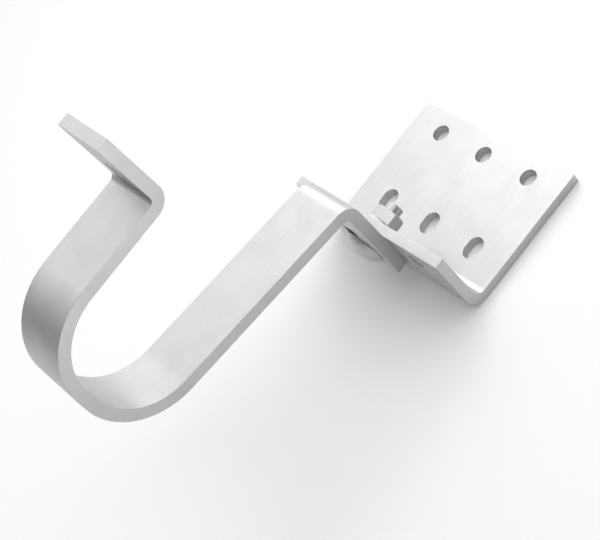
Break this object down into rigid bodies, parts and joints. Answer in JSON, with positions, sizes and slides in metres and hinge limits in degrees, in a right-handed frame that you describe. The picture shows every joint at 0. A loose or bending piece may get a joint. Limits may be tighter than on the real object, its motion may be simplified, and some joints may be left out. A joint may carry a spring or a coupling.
{
  "type": "roof hook",
  "caption": "Height-adjustable roof hook: a flat bar folded into a wide crook with an upright rail tip, clamped by a carriage bolt to a perforated angle plate.",
  "frame": {"origin": "centre of the base plate's underside, which lies on the rafter", "axes": "+X up the roof slope from the flange over the base plate, -X down the slope towards the crook, +Y across the roof, +Z away from the roof"},
  "size_m": [0.2113, 0.1, 0.1907],
  "materials": {
    "stainless_plate": "pale satin, pickled stainless steel",
    "stainless_bar": "pale satin, pickled stainless steel",
    "stainless_fastener": "satin, pickled stainless steel"
  },
  "bodies": {
    "root": {"angle_plate": "stainless_plate", "hook_bar": "stainless_bar", "carriage_bolt": "stainless_fastener", "flange_nut": "stainless_fastener"}
  },
  "joints": []
}
